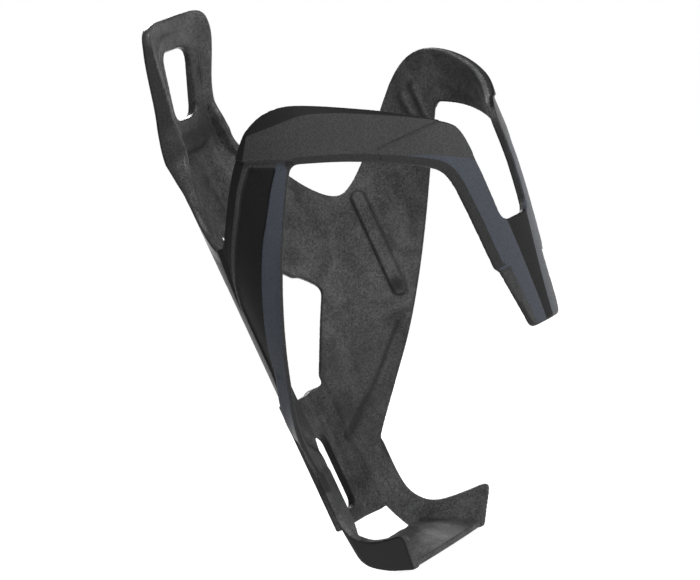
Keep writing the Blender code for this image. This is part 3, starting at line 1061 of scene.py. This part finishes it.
def build_cage():
    """Make every piece of the visual, each riding and replacing its CAD node."""
    cage = Cage()
    points, quads = surface_net(sample_field(cage))
    points = settle(cage, points)
    material = moulded_carbon()
    for node, planes in all_seams().items():
        mesh = cut_piece(node + "_shell", points, quads, planes)
        shade_from_field(cage, mesh)
        write_masks(cage, mesh)
        piece = place(node + "_shell", mesh, material)
        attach(piece, "root")
        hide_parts(node)
    mesh = foot_floor_mesh()
    piece = place("foot_floor_ramp", mesh, material)
    edge = piece.modifiers.new("edges", "BEVEL")
    edge.width = 0.35 * MM
    edge.segments = 3
    edge.limit_method = "ANGLE"
    edge.angle_limit = radians(50)
    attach(piece, "root")
    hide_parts("foot_floor")


# --- camera, lights and floor ---

# The view: its turn round the cage, its rise and its roll, all in degrees.
VIEW_TURN = -57.0
VIEW_RISE = 1.2
VIEW_ROLL = 24.9
VIEW_DISTANCE = 1.0
VIEW_LENS = 205.7
AIM_HEIGHT = 70.0
AIM_ASIDE = -11.3

# Area lights as (name, direction, distance, size, power).
LIGHTS = [
    ("key", (-0.75, -0.6, 1.1), 1.1, 0.5, 11.0),
    ("fill", (0.3, -0.9, 0.2), 1.3, 0.5, 3.5),
    ("rim", (0.75, 0.55, 0.65), 1.2, 0.45, 8.0),
]

# Sides of the studio hung with black cloth, as (direction, start and end of the fade, what is
# left of the light there), for the wall and for the floor.
DARK_SIDES = [((-0.45, 0.89, 0), 0.35, 0.8, 0.08), ((0.7, -0.71, 0), 0.5, 0.9, 0.35)]
DARK_FLOOR = [((-0.45, 0.89, 0), 0.35, 0.8, 0.3)]
FLOOR_RADIUS = 30.0
FLOOR_GREY = 0.4
FLOOR_GLOW = 0.9


def view_axes(turn, rise):
    """The right, up and backward directions of a level camera."""
    a, e = radians(turn), radians(rise)
    back = Vector((sin(a) * cos(e), -cos(a) * cos(e), sin(e)))
    right = Vector((cos(a), sin(a), 0.0))
    return right, back.cross(right), back


def add_camera():
    """Look at the near side and into the cage, rolled so that it leans to the left."""
    right, up, back = view_axes(VIEW_TURN, VIEW_RISE)
    aim = DRAWING_ZERO + (right * AIM_ASIDE + Vector((0, 0, AIM_HEIGHT))) * MM
    roll = radians(VIEW_ROLL)
    tilted_right = right * cos(roll) - up * sin(roll)
    tilted_up = right * sin(roll) + up * cos(roll)
    data = bpy.data.cameras.new("camera")
    data.lens = VIEW_LENS
    data.sensor_width = 36.0
    camera = bpy.data.objects.new("camera", data)
    turn = Matrix((tilted_right, tilted_up, back)).transposed().to_4x4()
    camera.matrix_world = Matrix.Translation(aim + back * VIEW_DISTANCE) @ turn
    bpy.context.scene.collection.objects.link(camera)
    bpy.context.scene.camera = camera


def add_light(name, direction, distance, size, power):
    """A round soft light aimed at the middle of the cage."""
    data = bpy.data.lights.new(name, "AREA")
    data.shape = "DISK"
    data.size = size
    data.energy = power
    light = bpy.data.objects.new(name, data)
    centre = DRAWING_ZERO + Vector((0, 0, AIM_HEIGHT)) * MM
    place_at = Vector(direction).normalized() * distance
    turned = place_at.to_track_quat("Z", "Y").to_matrix().to_4x4()
    light.matrix_world = Matrix.Translation(centre + place_at) @ turned
    bpy.context.scene.collection.objects.link(light)


def dimmed(tree, direction, strength, sides):
    """A strength that falls off towards the dark sides of the studio."""
    for toward, low, high, left in sides:
        dot = tree.nodes.new("ShaderNodeVectorMath")
        dot.operation = "DOT_PRODUCT"
        tree.links.new(direction, dot.inputs[0])
        dot.inputs[1].default_value = toward
        fade = tree.nodes.new("ShaderNodeMapRange")
        fade.interpolation_type = "SMOOTHSTEP"
        for key, value in (("From Min", low), ("From Max", high), ("To Min", 1.0), ("To Max", left)):
            fade.inputs[key].default_value = value
        tree.links.new(dot.outputs["Value"], fade.inputs["Value"])
        product = tree.nodes.new("ShaderNodeMath")
        product.operation = "MULTIPLY"
        tree.links.new(strength, product.inputs[0])
        tree.links.new(fade.outputs["Result"], product.inputs[1])
        strength = product.outputs[0]
    return strength


def pale_floor():
    """A white floor that glows, less so towards the dark cloth."""
    material = bpy.data.materials.new("pale_floor")
    material.use_nodes = True
    tree = material.node_tree
    shader = tree.nodes["Principled BSDF"]
    shader.inputs["Base Color"].default_value = grey(FLOOR_GREY)
    shader.inputs["Roughness"].default_value = 1.0
    shader.inputs["Specular IOR Level"].default_value = 0.0
    shader.inputs["Emission Color"].default_value = (1, 1, 1, 1)
    place_on = tree.nodes.new("ShaderNodeTexCoord")
    outward = tree.nodes.new("ShaderNodeVectorMath")
    outward.operation = "NORMALIZE"
    tree.links.new(place_on.outputs["Object"], outward.inputs[0])
    glow = tree.nodes.new("ShaderNodeValue")
    glow.outputs[0].default_value = FLOOR_GLOW
    strength = dimmed(tree, outward.outputs["Vector"], glow.outputs[0], DARK_FLOOR)
    tree.links.new(strength, shader.inputs["Emission Strength"])
    return material


def add_stage():
    """A wide pale floor."""
    base = float(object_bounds()[0][2])
    mesh = bpy.data.meshes.new("studio_floor")
    work = bmesh.new()
    around = 64
    turns = [2 * pi * k / around for k in range(around)]
    ring = [(FLOOR_RADIUS * cos(turn), FLOOR_RADIUS * sin(turn), base) for turn in turns]
    work.faces.new([work.verts.new(corner) for corner in ring])
    work.to_mesh(mesh)
    work.free()
    floor = bpy.data.objects.new("studio_floor", mesh)
    bpy.context.scene.collection.objects.link(floor)
    mesh.materials.append(pale_floor())


def add_world():
    """A white studio wall at eye level, dimmer overhead."""
    world = bpy.data.worlds.new("studio")
    world.use_nodes = True
    tree = world.node_tree
    direction = tree.nodes.new("ShaderNodeTexCoord")
    parts = tree.nodes.new("ShaderNodeSeparateXYZ")
    tree.links.new(direction.outputs["Generated"], parts.inputs[0])
    fade = tree.nodes.new("ShaderNodeMapRange")
    fade.interpolation_type = "SMOOTHSTEP"
    for key, value in (("From Min", 0.22), ("From Max", 0.6), ("To Min", 1.0), ("To Max", 0.22)):
        fade.inputs[key].default_value = value
    tree.links.new(parts.outputs["Z"], fade.inputs["Value"])
    sky = fade.outputs["Result"]
    strength = dimmed(tree, direction.outputs["Generated"], sky, DARK_SIDES)
    tree.links.new(strength, tree.nodes["Background"].inputs["Strength"])
    tree.nodes["Background"].inputs["Color"].default_value = (1, 1, 1, 1)
    bpy.context.scene.world = world


# --- build ---

build_cage()
add_camera()
add_stage()
add_world()
for settings in LIGHTS:
    add_light(*settings)
bpy.context.scene.view_settings.view_transform = "Standard"
